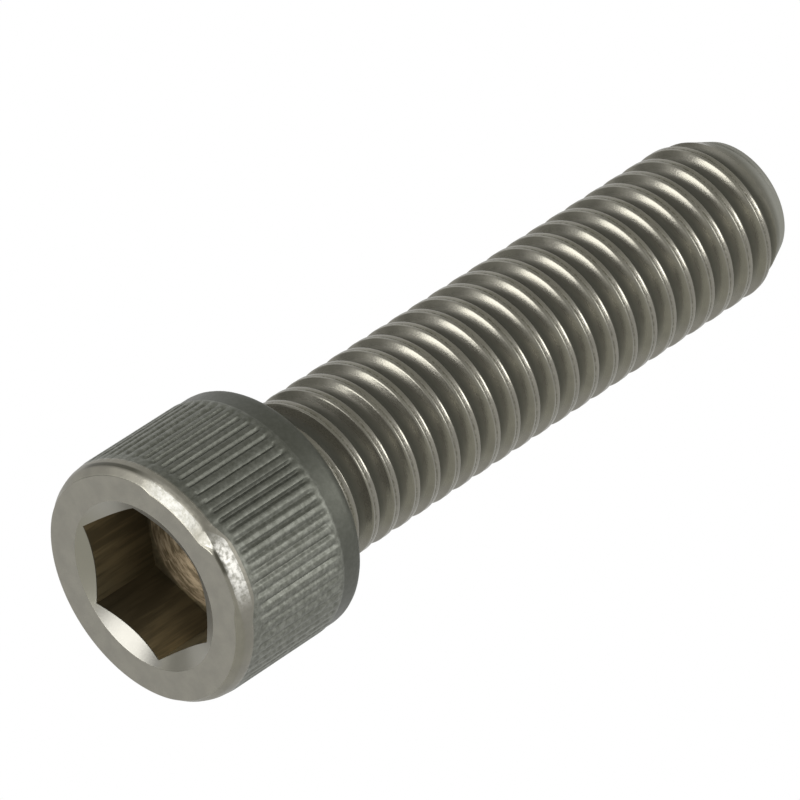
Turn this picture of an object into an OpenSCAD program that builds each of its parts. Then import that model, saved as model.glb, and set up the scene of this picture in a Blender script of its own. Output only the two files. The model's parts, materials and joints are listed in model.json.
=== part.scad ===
// Hex socket cap screw, right hand, 3/8 inch with 16 threads to the inch, 1 1/2 inch long and threaded
// up to its head. Each size lies inside the tolerance for that screw.
// It stands on its head: the socket opens downwards at z = 0 and the thread rises along +Z.
// The first corner of the hexagon points along +X. All sizes are in millimetres.

/* [Thread] */
// Diameter over the thread crests
thread_d = 9.4; // [8.8:0.05:9.6]
// Distance from one crest to the next along the screw
pitch = 1.5875; // [1.25:0.0125:1.8]
// Length of the screw under its head
shank_l = 37.6; // [25:0.1:63.5]
// Angle from the first corner of the socket to the start of the thread
thread_start = 275; // [0:5:355]
// Length of the plain neck between the head and the first thread
neck_l = 0.5; // [0.5:0.1:3]
// Length over which the first thread grows to its full depth
runout_l = 1.6; // [0.8:0.1:4]
// Diameter of the flat end
tip_d = 7.4; // [6.6:0.05:8]
// Length of the taper behind the flat end
tip_taper_l = 2.3; // [1.2:0.1:3]

/* [Head] */
// Diameter of the head over the knurl
head_d = 14; // [12.8:0.05:15]
// Height of the head
head_h = 9.35; // [8.5:0.05:11]
// Width of the bevel around the face, measured across the face
bevel_w = 0.34; // [0.1:0.02:0.6]
// Length of that bevel, measured along the head
bevel_l = 0.75; // [0.2:0.05:0.9]
// Radius of the rounded edge under the head
under_edge_r = 0.8; // [0.2:0.05:0.95]
// Radius of the fillet between the head and the neck
fillet_r = 0.5; // [0.3:0.05:0.7]

/* [Knurl] */
// Number of straight grooves around the head
knurl_count = 70; // [48:1:80]
// Height by which rolling raised the ridges over the plain bands
knurl_rise = 0.05; // [0.02:0.01:0.08]
// Depth of a groove below the ridges
knurl_depth = 0.2; // [0.1:0.01:0.3]
// Width of a groove at the top of its ridges
knurl_groove_w = 0.38; // [0.2:0.01:0.44]
// Distance from the face to the start of the knurl
knurl_start = 1; // [0.95:0.05:1.6]
// Height of the plain band between the knurl and the bearing face
plain_band_l = 1.6; // [1:0.05:3]

/* [Socket] */
// Width of the hexagon across its flats
socket_af = 7.96; // [7.2:0.02:8.2]
// Depth of the hexagon below the face
socket_depth = 4.6; // [3.5:0.1:5.5]
// Diameter of the countersink at the face
mouth_d = 9.8; // [9.5:0.05:11]
// Full angle of the countersink
mouth_angle = 120; // [100:1:140]
// Full angle of the cone in the bottom of the socket
floor_angle = 150; // [130:1:170]

/* [Hidden] */
steel = [0.50, 0.49, 0.46];

head_r = head_d / 2;
band_r = head_r - knurl_rise;
knurl_end = head_h - plain_band_l;
// Length of the slope from a plain band up to the ridges; the grooves end halfway along it
knurl_ramp = 3 * knurl_rise;
full_l = head_h + shank_l;
crest_r = thread_d / 2;
tip_r = tip_d / 2;

// Thread form with 60 degrees between its flanks: a sharp crest would be crest_half wider to each side,
// and its corners are rolled down by crest_drop
thread_h = 0.586 * pitch;
flank = tan(60 / 2);
crest_half = 0.11 * pitch;
crest_drop = 0.06 * pitch;
root_half = pitch / 2 - crest_half - thread_h * flank;
crest_foot = crest_half + crest_drop * flank;
crest_top = crest_foot - 0.07 * pitch;
root_r = crest_r - thread_h;
neck_r = crest_r - thread_h / 2;

// One turn of the thread as [distance along the screw, radius], from the start of a root
thread_form = [
    [0, root_r],
    [2 * root_half, root_r],
    [root_half + pitch / 2 - crest_foot, crest_r - crest_drop],
    [root_half + pitch / 2 - crest_top, crest_r],
    [root_half + pitch / 2 + crest_top, crest_r],
    [root_half + pitch / 2 + crest_foot, crest_r - crest_drop]
];
form_n = len(thread_form);

// Facets around the thread, and along a rounded edge
sides = 32;
arc_steps = 4;
// Facets around what is turned
round_fn = 96;
// The swept thread starts this far inside the head, and its neck stands this little inside the fillet
sink = 0.18;
lap = 0.02;
// Cutters reach this far past the surface that they cut
over = 0.5;

// The rows climb with the helix, and the first turn of them is hidden in the head
first_z = head_h + fillet_r - pitch - sink;
turns = ceil((full_l - first_z) / pitch) + 1;
row_n = turns * form_n + 1;
// A row this close to the end is moved onto its rim
end_snap = 0.04;
end_reach = first_z + pitch * (turns + 1) - full_l;

function eased(t) = let (s = min(max(t, 0), 1)) s * s * (3 - 2 * s);

// Height of a row at one of the sides, and whether it has passed the flat end
function row_z(side, row) =
    first_z + pitch * (floor(row / form_n) + side / sides) + thread_form[row % form_n][0];
function past_end(side, row) = row_z(side, row) > full_l - end_snap;

// Radius of the thread, which grows out of the neck and is cut by the taper at the end
function taper_r(z) = tip_r + (crest_r - tip_r) * (full_l - z) / tip_taper_l;
function grown_r(z, form_r) = neck_r + (form_r - neck_r) * eased((z - head_h - neck_l) / runout_l);
function thread_r(z, row) = min(grown_r(z, thread_form[row % form_n][1]), taper_r(z));

// The rows that pass the end lie on its flat face and close in on the axis
function end_r(side, row) =
    past_end(side, row - 1) ? tip_r * (1 - (row_z(side, row) - full_l + end_snap) / end_reach) : tip_r;

function on_circle(r, side, z) = [r * cos(360 * side / sides), r * sin(360 * side / sides), z];
function thread_point(side, row) =
    past_end(side, row)
        ? on_circle(end_r(side, row), side, full_l)
        : on_circle(thread_r(row_z(side, row), row), side, row_z(side, row));

// Numbers of the points: first the thread side by side, then the ring at its foot, then the two middles.
// After the last side the thread goes on at the first side, one turn higher.
function at(side, row) = side < sides ? side * row_n + row : at(side - sides, row + form_n);
function foot(side) = sides * row_n + side % sides;
end_middle = sides * row_n + sides;
last = sides - 1;
top_row = row_n - 1;

thread_points = concat(
    [for (side = [0:last], row = [0:top_row]) thread_point(side, row)],
    [for (side = [0:last]) on_circle(neck_r, side, first_z - sink)],
    [[0, 0, full_l]]
);

thread_faces = concat(
    // The thread itself
    [for (side = [0:last], row = [0:top_row - 1 - (side == last ? form_n : 0)])
        each [
            [at(side, row), at(side, row + 1), at(side + 1, row)],
            [at(side + 1, row), at(side, row + 1), at(side + 1, row + 1)]
        ]],
    // From the foot up to the first row, with the step where the first turn starts
    [for (side = [0:last - 1])
        each [
            [foot(side), at(side, 0), foot(side + 1)],
            [foot(side + 1), at(side, 0), at(side + 1, 0)]
        ]],
    [for (row = [0:form_n - 1]) [at(last, 0), at(0, row + 1), at(0, row)]],
    [[at(last, 0), at(0, 0), foot(0)], [at(last, 0), foot(0), foot(last)]],
    [[for (side = [0:last]) foot(side)]],
    // The flat end
    [for (side = [0:last]) [end_middle, side < last ? at(side + 1, top_row) : at(0, top_row), at(side, top_row)]],
    [for (row = [top_row - form_n:top_row - 1]) [at(last, row), at(last, row + 1), at(0, top_row)]]
);

// Neck, rolled thread and tapered end, swept along the helix
module threaded_shank() {
    rotate([0, 0, thread_start])
        polyhedron(thread_points, thread_faces, convexity = 10);
}

// Outline of the head, turned about the axis: bevelled at the face, raised where it is knurled,
// rounded below its bearing face, and with a fillet up to the neck
module head_blank() {
    quarter = [for (k = [0:arc_steps]) 90 * k / arc_steps];
    knurl = [[band_r, knurl_start], [head_r, knurl_start + knurl_ramp],
        [head_r, knurl_end - knurl_ramp], [band_r, knurl_end]];
    under_edge = [for (t = quarter)
        [band_r - under_edge_r * (1 - cos(t)), head_h - under_edge_r * (1 - sin(t))]];
    fillet = [for (t = quarter)
        [neck_r + lap + fillet_r * (1 - sin(t)), head_h + fillet_r * (1 - cos(t))]];
    rotate_extrude($fn = round_fn)
        polygon(concat(
            [[0, 0], [band_r - bevel_w, 0], [band_r, bevel_l]],
            knurl,
            under_edge,
            fillet,
            [[0, head_h + fillet_r]]
        ));
}

// Straight knurl: V grooves between the ridges
module knurl_grooves() {
    half_w = knurl_groove_w / 2;
    outer = half_w * (knurl_depth + over) / knurl_depth;
    for (k = [0:knurl_count - 1])
        rotate([0, 0, 360 * (k + 0.5) / knurl_count])
            translate([head_r, 0, knurl_start + knurl_ramp / 2])
                linear_extrude(knurl_end - knurl_start - knurl_ramp)
                    polygon([[-knurl_depth, 0], [over, -outer], [over, outer]]);
}

// Hexagon for the key, with a countersunk mouth and a shallow cone in its floor
module socket_cut() {
    corner_r = socket_af / 2 / cos(30);
    mouth_r = mouth_d / 2;
    mouth_deep = mouth_r / tan(mouth_angle / 2);
    floor_deep = socket_af / 2 / tan(floor_angle / 2);
    translate([0, 0, -over])
        cylinder(h = socket_depth + over, r = corner_r, $fn = 6);
    translate([0, 0, -over])
        cylinder(h = mouth_deep + over, r1 = mouth_r + over * tan(mouth_angle / 2), r2 = 0, $fn = round_fn);
    translate([0, 0, socket_depth])
        cylinder(h = floor_deep, r1 = socket_af / 2, r2 = 0, $fn = round_fn);
}

module cap_screw() {
    color(steel)
        difference() {
            union() {
                head_blank();
                threaded_shank();
            }
            knurl_grooves();
            socket_cut();
        }
}

cap_screw();
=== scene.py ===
# %% [markdown]
# # Hex socket cap screw
# The CAD model gives this screw its size and its place, and this script gives it its looks.
# A screw like this is one piece of steel: the head is pressed, the knurl and the thread are rolled.
# So it is one closed mesh here too, with every size in millimetres as in the CAD. The box of the CAD
# model is kept at once, so that the finished scene can be compared with it.

# %% Start
import json
import math
import bpy
import bmesh
import numpy as np
from mathutils import Matrix, Vector


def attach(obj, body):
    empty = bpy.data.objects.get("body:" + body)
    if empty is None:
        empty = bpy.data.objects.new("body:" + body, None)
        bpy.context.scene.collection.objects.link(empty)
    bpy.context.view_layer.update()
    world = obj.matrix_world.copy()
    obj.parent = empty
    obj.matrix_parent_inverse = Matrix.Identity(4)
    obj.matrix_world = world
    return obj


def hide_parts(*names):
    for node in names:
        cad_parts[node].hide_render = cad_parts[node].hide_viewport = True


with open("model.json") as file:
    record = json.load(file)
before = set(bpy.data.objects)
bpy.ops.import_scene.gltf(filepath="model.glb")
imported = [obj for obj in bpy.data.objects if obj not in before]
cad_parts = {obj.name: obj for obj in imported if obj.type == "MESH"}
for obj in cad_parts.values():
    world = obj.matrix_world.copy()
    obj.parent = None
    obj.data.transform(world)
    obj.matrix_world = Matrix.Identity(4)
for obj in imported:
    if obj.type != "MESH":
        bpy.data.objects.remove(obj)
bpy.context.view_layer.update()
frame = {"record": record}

# %% [markdown]
# The head and the whole length are read from the CAD model's mounts, which are the places where the
# screw meets other parts: the rim of the head, the ring that bears on the work and the end of the
# thread. Read from there, they follow the CAD model.

# %% Sizes from the frame
MM = 0.001
mounts = {mount["name"]: mount for mount in frame["record"]["mounts"]}
HEAD_R = mounts["head_rim"]["dims"]["r_mm"]
HEAD_H = round(mounts["bearing_face"]["pos_m"][2] / MM, 3)
FULL_L = round(mounts["thread"]["pos_m"][2] / MM, 3)
print("head radius:", HEAD_R, "head height:", HEAD_H, "whole length:", FULL_L)

# %% [markdown]
# ## Rings and strips
# A turned part is a stack of rings. The walk over its surface starts in the middle of the socket's
# floor, climbs out of the socket, crosses the face, follows the knurl and ends on the flat tip.
# Two rings with the same number of points are joined by squares. Where the numbers differ, a zip of
# triangles joins them, so the mesh stays closed and no points have to be merged afterwards.

# %% Tools for the mesh
points, faces = [], []


def on_ring(angle, radius, height):
    """Adds a point, given by its angle in degrees, and returns its number."""
    turn = math.radians(angle)
    points.append((radius * math.cos(turn), radius * math.sin(turn), height))
    return len(points) - 1


def ring(angles, radius, height):
    """Adds a point at each angle. The radius and the height are one number, or one for each angle."""
    radius, height = np.broadcast_to(radius, angles.shape), np.broadcast_to(height, angles.shape)
    return [on_ring(a, r, z) for a, r, z in zip(angles, radius, height)]


def join(a, b):
    """Joins ring a to ring b, the one before it on the walk, which has as many points."""
    n = len(a)
    for i in range(n):
        faces.append((a[(i + 1) % n], a[i], b[i], b[(i + 1) % n]))


def zip_up(a, b):
    """Joins two rings of different counts. Both start at angle 0."""
    i = j = 0
    while i < len(a) or j < len(b):
        if (i + 1) * len(b) <= (j + 1) * len(a):
            faces.append((a[(i + 1) % len(a)], a[i], b[j % len(b)]))
            i += 1
        else:
            faces.append((a[i % len(a)], b[j], b[(j + 1) % len(b)]))
            j += 1


# %% [markdown]
# Much on this screw changes softly from one place to the next. Two small functions describe that: a
# step with soft ends, and a hill that is 1 over a stretch and 0 outside it.

# %% Soft steps
def smooth(t):
    """0 below 0, 1 above 1, and an S-shaped rise between them."""
    t = np.clip(t, 0.0, 1.0)
    return t * t * (3 - 2 * t)


def hill(x, low, high, soft):
    """1 between low and high, 0 outside, with soft sides."""
    return smooth((x - low) / soft + 0.5) * smooth((high - x) / soft + 0.5)


# %% [markdown]
# ## Socket
# The hexagon is pressed into the hot or cold blank by a punch, which leaves flat walls and a shallow
# cone in the floor. Its mouth is countersunk at 120 degrees so that a key finds its way in. The
# hexagon of this one sits a hair off the middle, as the photo shows, so its rings are moved a little.
# The countersink cuts deeper into a flat wall than into a corner, which gives the mouth its bowed edges.

# %% Shape of the socket
SOCKET_AF, SOCKET_DEEP, MOUTH_R = 7.96, 4.6, 4.9
MOUTH_ANGLE, FLOOR_ANGLE = 120, 150             # full angles of the countersink and of the floor's cone
SHIFT_X, SHIFT_Y = -0.05, -0.07
MOUTH_SLOPE = 1 / math.tan(math.radians(MOUTH_ANGLE / 2))
HEX_POINTS = 240
hex_a = np.arange(HEX_POINTS) * 360 / HEX_POINTS
wall_r = SOCKET_AF / 2 / np.cos(np.radians(hex_a % 60 - 30))
wall_r = wall_r + SHIFT_X * np.cos(np.radians(hex_a)) + SHIFT_Y * np.sin(np.radians(hex_a))
floor_r = SOCKET_AF / 2 - 0.1
floor_rise = floor_r / math.tan(math.radians(FLOOR_ANGLE / 2))
edge_z = (MOUTH_R - wall_r) * MOUTH_SLOPE
print("countersink: from", round(edge_z.min(), 2), "to", round(edge_z.max(), 2), "mm deep at the walls")

# %% [markdown]
# The countersink's rings run from the hexagon's wall to a true circle on the face. Rows stand close
# together beside an edge, because then the smooth shading bends there and not across a flat wall.

# %% Floor, walls and countersink
FLOOR_ROWS = (0.35, 0.7, 1)
WALL_ROWS = (0, 0.02, 0.3, 0.6, 0.9, 0.985, 1)
MOUTH_ROWS = (0.05, 0.5, 1)
walk = ring(hex_a, 0.1 * floor_r, SOCKET_DEEP + 0.9 * floor_rise)
centre = on_ring(0, 0, SOCKET_DEEP + floor_rise)
for i in range(HEX_POINTS):
    faces.append((centre, walk[(i + 1) % HEX_POINTS], walk[i]))
stack = [(floor_r * t, SOCKET_DEEP + floor_rise * (1 - t)) for t in FLOOR_ROWS]
stack += [(wall_r, SOCKET_DEEP + (edge_z - SOCKET_DEEP) * t) for t in WALL_ROWS]
stack += [(wall_r + (MOUTH_R - wall_r) * t, edge_z * (1 - t)) for t in MOUTH_ROWS]
stack += [(MOUTH_R + 0.04, 0.0)]
for radius, height in stack:
    step = ring(hex_a, radius, height)
    join(step, walk)
    walk = step
print("socket:", len(points), "points")

# %% [markdown]
# ## Face and bevel
# The face is flat and its rim is bevelled on a lathe. On the side that the photo shows, the bevel is
# uneven: along one stretch it cuts deeper into the face, and beside it a steep second cut runs up the
# rim. Such a rim is easily made by giving each ring a radius and a height that change with the angle.
# The knurl needs eight points to a ridge, so all the rings of the head have that many.

# %% Uneven bevel
KNURLS, KNURL_RISE = 70, 0.05
BAND_R = HEAD_R - KNURL_RISE
SEEN_A = 7.39                                   # the camera looks at the side this far below angle 0
FACE_R, MID_R, MID_Z, TOP_Z = 6.61, 6.80, 0.30, 0.78    # an even bevel: end of the face, bend and top
head_a = np.arange(KNURLS * 8) * 360 / (KNURLS * 8)
seen = (head_a + SEEN_A + 180) % 360 - 180
near_side = hill(seen, -100, 100, 50)
deep_cut = hill(seen, -40, -1, 7)
steep_cut = hill(seen, -6, 40, 14)
inset = 0.24 + 0.2 * deep_cut - 0.12 * hill(seen, 0, 110, 8) - 0.22 * hill(seen, 3, 34, 8)
face_r = FACE_R - near_side * inset
mid_r = MID_R + 0.05 * steep_cut - 0.05 * deep_cut
mid_z = MID_Z + 0.10 * deep_cut - 0.10 * steep_cut
top_z = TOP_Z + 0.30 * steep_cut - 0.10 * deep_cut
print("the flat face ends between", round(face_r.min(), 2), "and", round(face_r.max(), 2), "mm")

# %% [markdown]
# The bevel rises in a straight line to a middle ring and from there in a round to the plain band. Small
# chips roughen both cuts. They are random, but their seed is fixed, so each run gives the same ones.

# %% Rings of the bevel
slope = [(t, t) for t in (0.25, 0.5, 0.75, 1)]
bulge = [(1 - (1 - t) ** 1.3, t) for t in (0.2, 0.5, 0.8)]
rim = [(face_r - 0.02, 0.0), (face_r + 0.02, 0.012)]
rim += [(face_r + (mid_r - face_r) * out, mid_z * rise) for out, rise in slope]
rim += [(mid_r + (BAND_R - mid_r) * out, mid_z + (top_z - mid_z) * rise) for out, rise in bulge]

chips = np.random.default_rng(4).normal(0, 1, (len(rim), len(head_a)))
chips = (chips + np.roll(chips, 1, 1) + np.roll(chips, 2, 1)) * 0.006 * np.maximum(deep_cut, steep_cut)
chips[:3] = 0                                   # the edge of the face stays clean

step = ring(head_a, face_r - 0.06, 0.0)
zip_up(step, walk)
walk = step
for (radius, height), chip in zip(rim, chips):
    step = ring(head_a, radius - np.abs(chip), height + 0.5 * chip)
    join(step, walk)
    walk = step
print("bevel:", len(rim), "rings, deepest chip", round(np.abs(chips).max(), 3), "mm")

# %% [markdown]
# ## Knurl
# Two rollers press straight V grooves into the turned head. The metal that they push aside rises, so
# the ridges stand a little above the plain bands. The grooves of a worn roller don't all begin and end
# at the same height, and so each groove gets its own start and end here. On the lower side that the
# photo shows the grooves are shallower, down to half as deep.

# %% Depth of the grooves
GROOVE_DEEP, GROOVE_W = 0.17, 0.34
KNURL_LOW, KNURL_HIGH = 1.0, HEAD_H - 1.6
groove = np.floor(head_a * KNURLS / 360).astype(int)
across = np.abs(head_a * KNURLS / 360 % 1 - 0.5) * 2 * math.pi * HEAD_R / KNURLS
start_wear, end_wear, pressure = np.random.default_rng(7).uniform(0, 1, (3, KNURLS))
low = KNURL_LOW + 0.06 + 0.22 * start_wear[groove] + 0.15 * steep_cut
high = KNURL_HIGH - 0.06 - 0.2 * end_wear[groove]
light_side = 1 - 0.3 * hill(seen, 5, 95, 30) - 0.2 * hill(seen, 40, 95, 30)
dip = smooth(1.15 - across / (GROOVE_W / 2)) * GROOVE_DEEP
dip = dip * (0.8 + 0.3 * pressure[groove]) * light_side
print("knurl:", KNURLS, "grooves, at most", round(dip.max(), 3), "mm deep")

# %% [markdown]
# Along the middle of the head a groove hardly changes, so rings can be far apart there. They stand
# closer where the grooves start and end.

# %% Knurl rings
START_ROWS, END_ROWS = [1.22, 1.3, 1.38, 1.5], [7.1, 7.25, 7.4, 7.5, 7.6, 7.7]
MIDDLE_ROWS = list(np.linspace(1.7, 6.95, 11))
for height in START_ROWS + MIDDLE_ROWS + END_ROWS:
    raised = KNURL_RISE * smooth((height - KNURL_LOW - 0.1) / 0.15) * smooth((KNURL_HIGH - height) / 0.15)
    pressed = dip * smooth((height - low + 0.1) / 0.5) * smooth((high - height) / 0.45)
    step = ring(head_a, BAND_R + raised - pressed, height)
    join(step, walk)
    walk = step
print("head:", len(points), "points so far")

# %% [markdown]
# ## Underside
# The edge under the head is rounded where the blank was pressed, the bearing ring is flat, and a small
# fillet leads up to the neck, because a sharp corner there would crack. The fillet's last ring is left
# to the shank, which starts with it.

# %% Rounded edge, bearing ring and fillet
PITCH, CREST_R = 1.5875, 4.7
DEPTH = 0.586 * PITCH
ROOT_R, NECK_R = CREST_R - DEPTH, CREST_R - DEPTH / 2
EDGE_R, FILLET_R = 0.7, 0.5
quarter = np.radians(range(0, 91, 15))
under = [(BAND_R - EDGE_R * (1 - math.cos(t)), HEAD_H - EDGE_R * (1 - math.sin(t))) for t in quarter]
under += [(NECK_R + FILLET_R * (1 - math.sin(t)), HEAD_H + FILLET_R * (1 - math.cos(t)))
          for t in quarter[:-1]]
for radius, height in [(BAND_R, KNURL_HIGH)] + under:
    step = ring(head_a, radius, height)
    join(step, walk)
    walk = step
print("bearing ring: from", round(NECK_R + FILLET_R, 2), "to", round(BAND_R - EDGE_R, 2), "mm")

# %% [markdown]
# ## Thread
# Two dies roll the thread. They press the root in, and the metal swells up on both sides until its two
# edges meet on top of the crest. They never close quite, so two rounded lips and a fine seam stay
# there, which is the sign of a rolled thread. The flanks are straight at 60 degrees to each other and
# the root is round. All this is one curve of the radius along a pitch, and the curve climbs as it turns.

# %% Radius of the thread
CREST_Z = 1.416                                 # height of a crest at angle 0, give or take whole pitches
CREST_HALF, CORNER_R = 0.172, 0.1               # the crest ends this far from its middle, with this round
LOWER_LIP, UPPER_LIP = (-0.175, 1.0, 0.0), (0.239, 0.5, 0.002)     # middle, bend and drop of each
LIPS_HALF = 0.2                                 # the lips end this far from the middle of the crest
SEAM_AT, SEAM_W, SEAM_DEEP = -0.05, 0.05, 0.045
FLANK_A = math.radians(60)                      # between a flank and the axis
ROOT_SOFT, TIP_SOFT = 0.05, 0.03                # how softly the root and the taper cut in
NECK_L, RUNOUT_L = 0.5, 1.6
TIP_R, TAPER_L = 3.7, 2.3


def lip(x, middle, bend, drop):
    """How far a lip lies below the full radius: drop in its middle, and more to both sides."""
    return drop + bend * (x - middle) ** 2


def crest_drop(x):
    """How far the crest lies below the full radius, at a distance x from its middle."""
    x = np.clip(x, -LIPS_HALF, LIPS_HALF)
    lower, upper = lip(x, *LOWER_LIP), lip(x, *UPPER_LIP)
    lips = lower + (upper - lower) * smooth((x + 0.1) / 0.15)
    return lips + SEAM_DEEP * np.exp(-((x - SEAM_AT) / SEAM_W) ** 2)


def thread_radius(angle, z):
    """Radius at an angle in degrees and at heights z."""
    from_crest = ((z - CREST_Z - PITCH * angle / 360) / PITCH + 0.5) % 1.0 * PITCH - PITCH / 2
    out = np.clip(np.abs(from_crest) - CREST_HALF, 0, None)
    bend = CORNER_R * math.sin(FLANK_A)
    corner = CORNER_R - np.sqrt(CORNER_R ** 2 - np.clip(out, 0, bend) ** 2)
    flank = np.clip(out - bend, 0, None) * math.tan(FLANK_A)
    form = CREST_R - crest_drop(from_crest) - corner - flank
    form = ROOT_R + ROOT_SOFT * np.logaddexp(0, (form - ROOT_R) / ROOT_SOFT)
    grown = NECK_R + (form - NECK_R) * smooth((z - HEAD_H - NECK_L) / RUNOUT_L)
    taper = TIP_R + (CREST_R - TIP_R) * (FULL_L - z) / TAPER_L
    return taper - TIP_SOFT * np.logaddexp(0, (taper - grown) / TIP_SOFT)


one_pitch = thread_radius(0, HEAD_H + 10 + np.linspace(0, PITCH, 400))
print("thread: radius from", round(one_pitch.min(), 2), "to", round(one_pitch.max(), 2), "mm")

# %% [markdown]
# ## Shank
# The rows of the shank climb with the helix, because then a row runs along the crest for its whole
# length and the crest stays clean. After one turn a row arrives where the next pitch begins, so the
# last side is joined to the first side one pitch higher. That leaves a wedge at each end: the lower
# one is filled from the fillet's ring, the upper one up to the flat tip. The rows stand where the
# profile bends: many on the lips and the seam, and only a row at each end of a straight flank.

# %% Columns of the shank
SIDES = 120
LIP_BENDS = [-0.29, -0.255, -0.23, -0.205, -0.178, -0.145, -0.115, -0.085, -0.05, -0.015,
             0.02, 0.06, 0.11, 0.155, 0.185, 0.21, 0.235, 0.258]
ROOT_BENDS = [-0.70, -0.63, -0.53, 0.53, 0.63, 0.70, 0.79]
LOW_ROWS_PER_MM, TIP_ROWS = 12, 24
side_a = np.arange(SIDES) * 360 / SIDES
low_z = HEAD_H + FILLET_R
turns = int((FULL_L - low_z) / PITCH) - 1
foot = ring(side_a, NECK_R, low_z)
zip_up(foot, walk)

one_turn = np.sort(((CREST_Z - low_z + np.array(LIP_BENDS + ROOT_BENDS)) / PITCH) % 1.0)
rows = np.concatenate([one_turn + turn for turn in range(turns)])
columns = []
for side in range(SIDES):
    climbing = low_z + PITCH * (side / SIDES + rows)
    below = np.linspace(low_z, climbing[0], 2 + round((climbing[0] - low_z) * LOW_ROWS_PER_MM))
    above = np.linspace(climbing[-1], FULL_L, TIP_ROWS)
    heights = np.concatenate([below[1:-1], climbing, above[1:-1]])
    radii = thread_radius(side_a[side], heights)
    columns.append([foot[side]] + [on_ring(side_a[side], r, z) for r, z in zip(radii, heights)])
tip_ring = ring(side_a, TIP_R, FULL_L)
print("shank:", turns, "whole turns,", len(points), "points so far")

# %% [markdown]
# Two columns beside each other have about the same number of points, but not at the same places in the
# two wedges. So each pair is laced from the bottom up: at every step the lower of the two next points
# is taken. Where the rows run along the helix this gives the same even pattern all the way.

# %% Lacing the columns
columns = [column + [end] for column, end in zip(columns, tip_ring)]
for side in range(SIDES):
    a, b = columns[side], columns[(side + 1) % SIDES]
    i = j = 0
    while i + 1 < len(a) or j + 1 < len(b):
        up_a = points[a[i + 1]][2] + PITCH / SIDES if i + 1 < len(a) else math.inf
        up_b = points[b[j + 1]][2] if j + 1 < len(b) else math.inf
        if abs(up_a - up_b) < 1e-6:
            faces.append((a[i], b[j], b[j + 1], a[i + 1]))
            i += 1
            j += 1
        elif up_a < up_b:
            faces.append((a[i], b[j], a[i + 1]))
            i += 1
        else:
            faces.append((a[i], b[j], b[j + 1]))
            j += 1
print("laced:", len(faces), "faces so far")

# %% [markdown]
# ## Tip and mesh
# The tip is flat, with a narrow ring along its rim so that the shading of the cone doesn't run over it.
# Then the points become a mesh in metres. Edges sharper than 35 degrees are kept sharp, and so is the
# edge where the countersink meets the face, which is a little flatter than that.

# %% Mesh
TIP_RING_W, SHARP_A = 0.12, 35
inner_tip = ring(side_a, TIP_R - TIP_RING_W, FULL_L)
join(inner_tip, tip_ring)
centre = on_ring(0, 0, FULL_L)
for i in range(SIDES):
    faces.append((inner_tip[i], inner_tip[(i + 1) % SIDES], centre))

mesh = bpy.data.meshes.new("screw")
mesh.from_pydata([(x * MM, y * MM, z * MM) for x, y, z in points], [], faces)
mesh.polygons.foreach_set("use_smooth", [True] * len(mesh.polygons))
mesh.set_sharp_from_angle(angle=math.radians(SHARP_A))
mouth = [abs(math.hypot(x, y) - MOUTH_R) < 1e-6 and abs(z) < 1e-6 for x, y, z in points]
for edge in mesh.edges:
    if mouth[edge.vertices[0]] and mouth[edge.vertices[1]]:
        edge.use_edge_sharp = True
screw = bpy.data.objects.new("screw", mesh)
bpy.context.scene.collection.objects.link(screw)
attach(screw, "root")
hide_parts("cap_screw")
print("screw:", len(mesh.vertices), "points and", len(mesh.polygons), "faces")

# %% [markdown]
# A real solid has two faces at each of its edges, and both look outwards. The script counts the edges
# for which that isn't so, and measures the volume, which is positive when the faces look outwards.

# %% Test of the mesh
measure = bmesh.new()
measure.from_mesh(mesh)
print("triangles:", sum(len(face) - 2 for face in faces),
      "open edges:", sum(not edge.is_manifold for edge in measure.edges),
      "turned over:", sum(edge.is_manifold and not edge.is_contiguous for edge in measure.edges),
      "volume in mm3:", round(measure.calc_volume(signed=True) / MM ** 3, 1))
measure.free()

# %% [markdown]
# ## Steel
# Bare steel is a dull, warm grey. One material is enough, because its colour, roughness and fine
# relief can change from zone to zone. A few small helpers keep its node tree short to write.

# %% Helpers for nodes
steel = bpy.data.materials.new("steel")
steel.use_nodes = True
mesh.materials.append(steel)
tree = steel.node_tree


def add(kind, *inputs, **settings):
    """Adds a node to the tree. The inputs are numbers or outputs of other nodes; None leaves one as it is."""
    node = tree.nodes.new(kind)
    for name, value in settings.items():
        setattr(node, name, value)
    plug(zip(node.inputs, inputs))
    return node


def plug(pairs):
    """Links each output to its input, or sets the number there."""
    for socket, value in pairs:
        if isinstance(value, bpy.types.NodeSocket):
            tree.links.new(value, socket)
        elif value is not None:
            socket.default_value = value


def maths(operation, a, b=None):
    """One step of arithmetic."""
    return add("ShaderNodeMath", a, b, operation=operation).outputs[0]


def noise(at, scale, detail, rough, **settings):
    """A soft random pattern from 0 to 1. The larger the scale, the finer it is."""
    return add("ShaderNodeTexNoise", at, None, scale, detail, rough, **settings).outputs[0]


# %% [markdown]
# A mask is a number from 0 to 1 that says how much of something is at a place. Masks come from soft
# steps, as the shapes did, and two masks are multiplied where both of them have to hold.

# %% Helpers for masks and colours
def ramp(value, low, high, start=0.0, end=1.0):
    """start below low, end above high, and a smooth change between them."""
    node = add("ShaderNodeMapRange", value, low, high, start, end, interpolation_type="SMOOTHSTEP")
    return node.outputs[0]


def both(*masks):
    """The product of masks, which is 1 only where all of them are. A number fades it."""
    result = masks[0]
    for mask in masks[1:]:
        result = maths("MULTIPLY", result, mask)
    return result


def band(value, low, high, soft):
    """1 between low and high, 0 outside, with soft sides: the node form of a hill."""
    return both(ramp(value, low - soft, low + soft), ramp(value, high - soft, high + soft, 1.0, 0.0))


def blend(factor, a, b):
    """Colour a where the factor is 0, and colour b where it is 1."""
    node = add("ShaderNodeMix", data_type="RGBA")
    plug(zip((node.inputs[0], node.inputs[6], node.inputs[7]), (factor, a, b)))
    return node.outputs[2]


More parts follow.
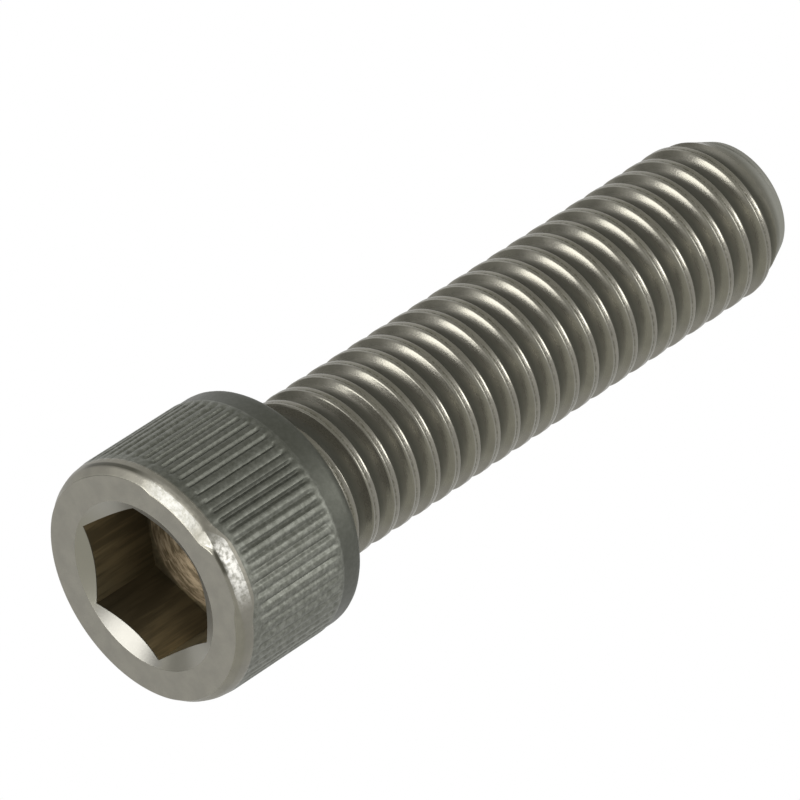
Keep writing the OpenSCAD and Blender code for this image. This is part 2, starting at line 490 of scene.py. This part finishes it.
# %% [markdown]
# The zones of the screw are masks made from the place of a point: its height, its distance from the
# axis and its angle. `from_crest` unwinds the helix: it is the distance from the middle of the
# nearest crest, so it finds the seam on every turn. `cone_depth` is the same all over the countersink.

# %% Where a point is
x_y_z = add("ShaderNodeVectorMath", add("ShaderNodeTexCoord").outputs["Object"], (1 / MM,) * 3,
            operation="MULTIPLY").outputs[0]
x, y, height = add("ShaderNodeSeparateXYZ", x_y_z).outputs
radius = add("ShaderNodeVectorMath", add("ShaderNodeCombineXYZ", x, y).outputs[0],
             operation="LENGTH").outputs["Value"]
around = maths("MULTIPLY", maths("ARCTAN2", y, x), 180 / math.pi)
seen_at = maths("ADD", around, SEEN_A)
pitches = maths("SUBTRACT", maths("DIVIDE", maths("SUBTRACT", height, CREST_Z), PITCH),
                maths("DIVIDE", around, 360.0))
from_crest = maths("MULTIPLY", maths("SUBTRACT", maths("FRACT", maths("ADD", pitches, 0.5)), 0.5), PITCH)
cone_depth = maths("ADD", height, maths("MULTIPLY", radius, MOUTH_SLOPE))
print("measures of a point:", len(tree.nodes), "nodes")

# %% [markdown]
# The socket has three zones: the countersink, the walls and the floor. The rim and the side of the head
# are two more. On the thread, the root, the seam and the tip each have a look of their own.

# %% Zones of the socket, the side and the thread
MOUTH_DEPTH = MOUTH_R * MOUTH_SLOPE             # where the countersink's cone would reach the axis
in_head = ramp(height, 7.0, 8.0, 1.0, 0.0)
on_mouth = both(band(cone_depth, MOUTH_DEPTH - 0.03, MOUTH_DEPTH + 0.03, 0.01),
                ramp(radius, MOUTH_R - 0.02, MOUTH_R, 1.0, 0.0))
in_socket = both(ramp(cone_depth, MOUTH_DEPTH + 0.03, MOUTH_DEPTH + 0.08),
                 ramp(radius, 4.7, 4.8, 1.0, 0.0), in_head)
on_floor = both(ramp(height, SOCKET_DEEP - 0.005, SOCKET_DEEP + 0.02),
                ramp(radius, 3.85, 3.95, 1.0, 0.0), in_head)

rim_top = maths("ADD", 0.8, both(0.4, band(seen_at, -2.0, 36.0, 8.0)))
on_rim = both(ramp(radius, 6.1, 6.2), ramp(height, 0.01, 0.04), maths("LESS_THAN", height, rim_top))
on_side = both(ramp(radius, 6.1, 6.3), band(height, 0.85, HEAD_H + 0.05, 0.05),
               maths("SUBTRACT", 1.0, on_rim))
on_under_band = ramp(height, KNURL_HIGH - 0.15, KNURL_HIGH + 0.05)

on_thread = ramp(height, HEAD_H + 0.15, HEAD_H + 0.85)
at_tip = ramp(height, FULL_L - 1.25, FULL_L - 0.65)
on_root = both(on_thread, ramp(radius, 3.9, 4.45, 1.0, 0.0))
in_seam = both(on_thread, band(from_crest, -0.11, 0.02, 0.02), ramp(radius, 4.3, 4.5))
print("zones:", len(tree.nodes), "nodes so far")

# %% [markdown]
# The two cuts of the bevel are bare steel, lightened further where the lamps' reflections fall on them,
# which is a painted highlight over the wear. The first is bright near the face alone, the second nearly
# all the way up. A nick near the start of the second and a thin line further along are dark.

# %% Worn and dark places of the rim, with a painted highlight on the wear
first_cut, second_cut = band(seen_at, -38.0, -10.0, 6.0), band(seen_at, -2.0, 28.0, 7.0)
worn = both(on_rim, maths("MAXIMUM", first_cut, second_cut))
from_z = maths("ADD", 0.03, both(0.14, ramp(seen_at, -3.0, 5.0)))
to_z = maths("ADD", 0.38, both(0.62, ramp(seen_at, -8.0, 3.0)))
worn_and_highlit_rim = both(worn, maths("GREATER_THAN", height, from_z), maths("LESS_THAN", height, to_z))
nick = both(band(seen_at, 2.0, 15.0, 2.0), band(radius, 6.74, 6.85, 0.03),
            ramp(height, 0.2, 0.35, 1.0, 0.0))
edge_line = both(band(seen_at, -82.0, -46.0, 6.0), band(height, 0.3, 0.52, 0.05), ramp(radius, 6.5, 6.6))
dark_lines = both(0.9, maths("MAXIMUM", nick, edge_line))
print("rim:", len(tree.nodes), "nodes so far")

# %% [markdown]
# Three noises do most of the work: a coarse one for the stains, a middle one for the blots and a fine
# one for the grain. The punch left streaks on the socket's walls and swirls on its floor. They come from
# noises that are stretched along the axis and around it.

# %% Noises
stains = noise(x_y_z, 0.9, 5.0, 0.6)
blots = noise(x_y_z, 3.5, 4.0, 0.65)
grain = noise(x_y_z, 8.0, 3.0, 0.6)
along_z = add("ShaderNodeVectorMath", x_y_z, (1.6, 1.6, 0.12), operation="MULTIPLY").outputs[0]
streaks = noise(along_z, 1.0, 4.0, 0.6)
swirl_at = add("ShaderNodeCombineXYZ", maths("MULTIPLY", radius, 5.0), maths("MULTIPLY", around, 0.05))
swirls = noise(swirl_at.outputs[0], 1.0, 4.0, 0.65, noise_dimensions="2D")
print("noises:", len(tree.nodes), "nodes so far")

# %% [markdown]
# Each `blend` lays the colour of a zone over what is there already, so the order matters. First come
# the cut and rolled surfaces: grey with painted shade in the roots, a lighter tip, a side with dark
# stretches of painted shade, bright wear on the rim with a painted highlight over it and a seam with
# dark speckles.

# %% Colour outside
STAINED, CLEAN = (0.178, 0.170, 0.143, 1), (0.205, 0.196, 0.163, 1)
ROOT_SHADE, TIP_GREY = (0.155, 0.154, 0.13, 1), (0.25, 0.248, 0.22, 1)
MOUTH_GREY, MOUTH_SHADE = (0.215, 0.207, 0.176, 1), (0.165, 0.16, 0.142, 1)
SIDE_DARK, SIDE_PALE, SIDE_SHADE = (0.105, 0.108, 0.09, 1), (0.18, 0.184, 0.16, 1), (0.06, 0.062, 0.05, 1)
WORN_GREY, WORN_PALE_HIGHLIGHT, WORN_WHITE_HIGHLIGHT = (0.24, 0.235, 0.205, 1), (0.32, 0.315, 0.29, 1), (0.52, 0.51, 0.475, 1)
DARK_MARK, SPECKLE = (0.05, 0.048, 0.035, 1), (0.11, 0.105, 0.08, 1)

colour = blend(ramp(stains, 0.3, 0.7), STAINED, CLEAN)
# painted shade: the roots of the thread are darker
colour = blend(on_root, colour, ROOT_SHADE)
colour = blend(at_tip, colour, TIP_GREY)
# painted shade: the countersink is darker between 118 and 178 degrees around
colour = blend(on_mouth, colour, blend(band(around, 118.0, 178.0, 4.0), MOUTH_GREY, MOUTH_SHADE))
colour = blend(on_side, colour, blend(ramp(blots, 0.35, 0.7), SIDE_DARK, SIDE_PALE))
# painted shade: the side of the head is darker over a stretch of angles and along the plain band under the
# knurl
painted_shade = maths("MAXIMUM", both(0.5, band(seen_at, -50.0, 8.0, 18.0)), both(0.8, on_under_band))
colour = blend(both(on_side, painted_shade), colour, SIDE_SHADE)
# painted highlight over the wear: the steep second cut, where a lamp reflects, is lightest
painted_highlight = blend(ramp(seen_at, -6.0, 3.0), WORN_PALE_HIGHLIGHT, WORN_WHITE_HIGHLIGHT)
colour = blend(worn_and_highlit_rim, colour, blend(ramp(blots, 0.35, 0.6), WORN_GREY, painted_highlight))
# the nick and the thin line on the rim are darkened
colour = blend(dark_lines, colour, DARK_MARK)
colour = blend(both(in_seam, ramp(grain, 0.42, 0.55, 1.0, 0.0)), colour, SPECKLE)
print("colour outside:", len(tree.nodes), "nodes so far")

# %% [markdown]
# Inside the socket the steel is stained brown. Over the stain the walls get a painted shade that deepens
# with depth and towards one side, and the floor shows the swirls.

# %% Colour in the socket
BROWN_DARK, BROWN_PALE, SOCKET_SHADE = (0.145, 0.12, 0.069, 1), (0.29, 0.24, 0.14, 1), (0.045, 0.036, 0.02, 1)
SWIRL_DARK, SWIRL_PALE = (0.075, 0.056, 0.03, 1), (0.235, 0.185, 0.12, 1)
colour = blend(both(in_socket, 0.95), colour, blend(ramp(streaks, 0.4, 0.62), BROWN_DARK, BROWN_PALE))
# painted shade in the socket: darker with depth and between 135 and 170 degrees around
painted_shade_in_socket = maths("MAXIMUM", both(0.75, ramp(around, 135.0, 170.0)), both(0.6, ramp(height, 1.0, 4.5)))
colour = blend(both(in_socket, painted_shade_in_socket), colour, SOCKET_SHADE)
colour = blend(on_floor, colour, blend(ramp(swirls, 0.35, 0.65), SWIRL_DARK, SWIRL_PALE))
surface = tree.nodes["Principled BSDF"]
tree.links.new(colour, surface.inputs["Base Color"])
print("colour:", len(tree.nodes), "nodes so far")

# %% [markdown]
# Roughness and relief are sums: a little everywhere, and more in each zone that needs it. The grain
# makes the relief. It is a bump and no geometry, because it is less than 0.02 mm high.

# %% Roughness and relief
rough = maths("ADD", 0.17, both(0.12, stains))
for mask, more in ((on_side, 0.28), (on_rim, 0.24), (in_socket, 0.1), (on_floor, 0.15), (in_seam, 0.15),
                   (on_root, 0.5), (on_mouth, 0.07)):
    rough = maths("ADD", rough, both(mask, more))
tree.links.new(rough, surface.inputs["Roughness"])
surface.inputs["Metallic"].default_value = 0.77

relief = 0.25
for mask, more in ((on_rim, 1.0), (on_side, 0.5), (on_thread, 0.2), (in_seam, 2.2)):
    relief = maths("ADD", relief, both(mask, more))
bump = add("ShaderNodeBump")
bump.inputs["Strength"].default_value = 1.0
bump.inputs["Distance"].default_value = 0.008 * MM
tree.links.new(both(relief, grain), bump.inputs["Height"])
tree.links.new(bump.outputs[0], surface.inputs["Normal"])
print("steel:", len(tree.nodes), "nodes")

# %% [markdown]
# ## Camera
# The photo was taken with a long lens, from the side of the head and from below the face on which this
# screw stands. The three directions below come from a fit of the outline to the photo.

# %% Camera
RIGHT = Vector((0.5715, 0.4746, 0.6695))
UP = Vector((0.2173, -0.8742, 0.4342))
TOWARD = Vector((0.7913, -0.1027, -0.6027))
CAMERA_AT = Vector((356.01, -47.08, -250.81))
lens = bpy.data.cameras.new("camera")
lens.sensor_width, lens.lens = 36, 382.87
lens.clip_start, lens.clip_end = 0.01, 10
camera = bpy.data.objects.new("camera", lens)
turned = Matrix((RIGHT, UP, TOWARD)).transposed().to_4x4()
camera.matrix_world = Matrix.Translation(CAMERA_AT * MM) @ turned
bpy.context.scene.collection.objects.link(camera)
bpy.context.scene.camera = camera
print("camera:", round(CAMERA_AT.length), "mm from the middle of the face")

# %% [markdown]
# ## Light
# Steel shows what stands around it. Two soft lamps, left and right of the camera, give the bright
# flanks and the bright lips of the crests. The left lamp is turned so that two of its edges lie along
# the path that a flank's reflection takes as the thread turns, and so the bright streaks end crisply.
# A direction is given as the camera sees it: how far to the right, up and toward it. All the lamps
# stand 200 mm from the middle of the screw.

# %% Lamps
MIDDLE = Vector((0, 0, 23)) * MM
LAMP_FAR, CARD_FAR = 200, 230


def aimed(way, far, along=(0.0, 1.0, 0.0)):
    """A place that faces the screw from the direction way, with its own X along the second direction."""
    z = (RIGHT * way[0] + UP * way[1] + TOWARD * way[2]).normalized()
    x = RIGHT * along[0] + UP * along[1] + TOWARD * along[2]
    x = (x - z * x.dot(z)).normalized()
    return Matrix.Translation(MIDDLE + z * far * MM) @ Matrix((x, z.cross(x), z)).transposed().to_4x4()


def lamp(name, way, size, radiance, along=(0.0, 1.0, 0.0)):
    """The radiance is the brightness of its surface, which stays the same when its size is changed."""
    data = bpy.data.lights.new(name, "AREA")
    data.shape = "RECTANGLE"
    data.size, data.size_y = size[0] * MM, size[1] * MM
    data.energy = radiance * math.pi * data.size * data.size_y
    lit = bpy.data.objects.new(name, data)
    lit.matrix_world = aimed(way, LAMP_FAR, along)
    lit.visible_camera = False
    bpy.context.scene.collection.objects.link(lit)
    print(name, "of", size, "mm")


lamp("left lamp", (-0.80, -0.125, 0.587), (108, 130), 6.7, (0.277, -0.338, 0.373))
lamp("right lamp", (0.90, 0.21, 0.39), (75, 65), 10)

# %% [markdown]
# Five grey cards stand between the screw and the white world, 230 mm from the middle of the screw, and
# give it its dark bands. They are seen in reflections alone and cast no shadow.

# %% Cards
def sheet(name, width, depth, material, place):
    """A flat panel that isn't part of the screw."""
    flat = bpy.data.meshes.new(name)
    x, y = width / 2 * MM, depth / 2 * MM
    flat.from_pydata([(-x, -y, 0), (x, -y, 0), (x, y, 0), (-x, y, 0)], [], [(0, 1, 2, 3)])
    flat.materials.append(material)
    panel = bpy.data.objects.new(name, flat)
    panel.matrix_world = place
    bpy.context.scene.collection.objects.link(panel)
    print(name, "of", (width, depth), "mm")
    return panel


def card(name, way, size, grey):
    """A panel with an even grey glow, which shows only in reflections."""
    paint = bpy.data.materials.new(name)
    paint.use_nodes = True
    nodes = paint.node_tree.nodes
    nodes.clear()
    glow, out = nodes.new("ShaderNodeEmission"), nodes.new("ShaderNodeOutputMaterial")
    glow.inputs["Color"].default_value = (grey, grey, grey * 0.9, 1)
    paint.node_tree.links.new(glow.outputs[0], out.inputs["Surface"])
    panel = sheet(name, size[0], size[1], paint, aimed(way, CARD_FAR))
    panel.visible_camera = panel.visible_diffuse = panel.visible_shadow = panel.visible_transmission = False


card("upper card", (0.15, 0.95, 0.35), (300, 340), 0.5)
card("front card", (0.05, 0.1, 1.0), (200, 200), 0.58)
card("lower card", (-0.08, -0.88, 0.42), (330, 420), 0.82)
card("left card", (-0.975, 0.22, -0.05), (190, 130), 0.25)
card("back card", (0.62, 0.38, -0.7), (300, 260), 0.42)

# %% [markdown]
# ## Floor and background
# The screw stands on its head, and the photo looks at it from below, where a floor would hide it. So
# the floor is a sheet with one side: from above it is a pale floor with the screw's shadow, and from
# below it is clear. Away from the screw it fades into the white world. It only shows to the camera.
# The helpers for nodes add to whatever `tree` is, and from here on that is the floor's.

# %% One-sided floor
FLOOR_W, FLOOR_Z = 900, -0.02                   # a hair below the face, so that the two don't coincide
FADE_FROM, FADE_TO = 30 * MM, 400 * MM
pale = bpy.data.materials.new("floor")
pale.use_nodes = True
tree = pale.node_tree
matt = tree.nodes["Principled BSDF"]
matt.inputs["Base Color"].default_value = (0.78, 0.78, 0.78, 1)
matt.inputs["Roughness"].default_value = 0.9
matt.inputs["Specular IOR Level"].default_value = 0.0
spot = add("ShaderNodeNewGeometry")
far = add("ShaderNodeVectorMath", spot.outputs["Position"], operation="LENGTH").outputs["Value"]
hidden = maths("MAXIMUM", ramp(far, FADE_FROM, FADE_TO), spot.outputs["Backfacing"])
clear = add("ShaderNodeBsdfTransparent")
mix = add("ShaderNodeMixShader", hidden, matt.outputs[0], clear.outputs[0])
tree.links.new(mix.outputs[0], tree.nodes["Material Output"].inputs["Surface"])
floor = sheet("floor", FLOOR_W, FLOOR_W, pale, Matrix.Translation((0, 0, FLOOR_Z * MM)))
floor.visible_diffuse = floor.visible_glossy = floor.visible_transmission = floor.visible_shadow = False

# %% [markdown]
# The world is plain white at strength 1, which is the background and most of what the face reflects.

# %% White world
world = bpy.data.worlds.new("world")
bpy.context.scene.world = world
world.use_nodes = True
sky = world.node_tree.nodes["Background"]
sky.inputs["Color"].default_value = (1, 1, 1, 1)
sky.inputs["Strength"].default_value = 1.0
bpy.context.scene.view_settings.view_transform = "Standard"
print("world: white, view transform", bpy.context.scene.view_settings.view_transform)
